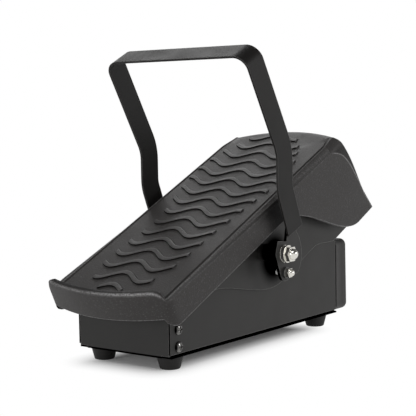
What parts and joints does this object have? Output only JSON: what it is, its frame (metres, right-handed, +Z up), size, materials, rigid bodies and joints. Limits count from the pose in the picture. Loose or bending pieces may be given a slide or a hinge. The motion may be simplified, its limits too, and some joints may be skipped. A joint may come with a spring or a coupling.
{
  "type": "welding foot pedal",
  "caption": "Foot pedal for a TIG welder: a wavy-ribbed tread rocks on a low sheet-metal base with rubber feet, under a bail handle that swings on the same axle.",
  "frame": {"origin": "on the floor, in the middle of the pedal's length and width", "axes": "+X to the user's right, +Y from the heel end to the toe end, +Z up"},
  "size_m": [0.188, 0.3665, 0.2783],
  "materials": {
    "cover_plastic": "fine spark-eroded texture, satin",
    "sheet_paint": "black powder coat, fine grain",
    "strap_paint": "black powder coat, satin",
    "cap_plastic": "fine texture, satin",
    "black_plastic": "satin",
    "switch_plastic": "satin",
    "button_plastic": "gloss",
    "terminal_plastic": "satin",
    "gear_plastic": "satin",
    "rubber": "matte",
    "black_screw": "black oxide",
    "zinc": "zinc plated",
    "nickel": "nickel plated, polished",
    "spring_steel": "bright drawn",
    "dark_steel": "dark oxide",
    "bronze": "sintered",
    "pot_case": "satin"
  },
  "bodies": {
    "base": {"base_tray": "sheet_paint", "side_panel_left": "sheet_paint", "side_panel_right": "sheet_paint", "panel_screws": "black_screw", "rear_cap": "cap_plastic", "cap_screws": "black_screw", "gland_body": "black_plastic", "gland_cap": "black_plastic", "gland_locknut": "black_plastic", "feet": "rubber", "foot_screws": "zinc", "axle": "zinc", "axle_lock_nuts": "zinc", "pivot_bushes": "bronze", "handle_spacers": "black_plastic", "axle_washers": "nickel", "axle_spring_washers": "dark_steel", "axle_cap_nuts": "nickel", "heel_stops": "rubber", "toe_stops": "rubber", "pot_bracket": "zinc", "pot_body": "pot_case", "pot_nut": "nickel", "switch_bracket": "zinc", "switch_body": "switch_plastic", "switch_screws": "zinc", "terminal_strip": "terminal_plastic", "terminal_screws": "zinc", "spring_seat": "zinc", "return_spring": "spring_steel"},
    "pedal": {"pedal_frame": "sheet_paint", "pedal_cover": "cover_plastic", "cover_screws": "zinc", "cross_brace": "sheet_paint", "brace_screws": "zinc", "rocker_bracket": "zinc", "rocker_screws": "zinc", "sector_gear": "bronze", "sector_screws": "zinc", "striker_pin": "zinc"},
    "pot_rotor": {"pot_shaft": "zinc", "pot_pinion": "gear_plastic"},
    "switch_arm": {"switch_lever": "spring_steel"},
    "switch_button": {"switch_plunger": "button_plastic"},
    "handle": {"handle_bail": "strap_paint", "handle_ear_left": "sheet_paint", "handle_ear_right": "sheet_paint", "lock_studs": "zinc", "lock_nuts": "zinc", "lock_washers": "dark_steel", "lock_cap_nuts": "nickel"}
  },
  "joints": [
    {"name": "pedal_rock", "type": "hinge", "parent": "base", "child": "pedal", "pos_m": [0, -0.0153, 0.0892], "axis": [-1, 0, 0], "range_deg": [0, 14], "stiffness_Nm_per_rad": 6, "springref_deg": -14.32, "deforming": ["return_spring"]},
    {"name": "handle_swing", "type": "hinge", "parent": "base", "child": "handle", "pos_m": [0, -0.0153, 0.0892], "axis": [-1, 0, 0], "range_deg": [-75, 70]},
    {"name": "pot_turn", "type": "hinge", "parent": "base", "child": "pot_rotor", "pos_m": [0.017, -0.04551, 0.0519], "axis": [1, 0, 0], "range_deg": [-2, 74]},
    {"name": "switch_arm_turn", "type": "hinge", "parent": "base", "child": "switch_arm", "pos_m": [-0.02785, -0.0248, 0.076], "axis": [-1, 0, 0], "range_deg": [-0.5, 10]},
    {"name": "switch_button_push", "type": "slide", "parent": "base", "child": "switch_button", "axis": [0, 0, -1], "range_m": [0, 0.0015]}
  ],
  "couplings": [
    {"joint": "pot_turn", "follows": "pedal_rock", "ratio": 5},
    {"joint": "switch_arm_turn", "follows": "pedal_rock", "ratio": 0.66},
    {"joint": "switch_button_push", "follows": "pedal_rock", "m_per_rad": 0.0056}
  ]
}
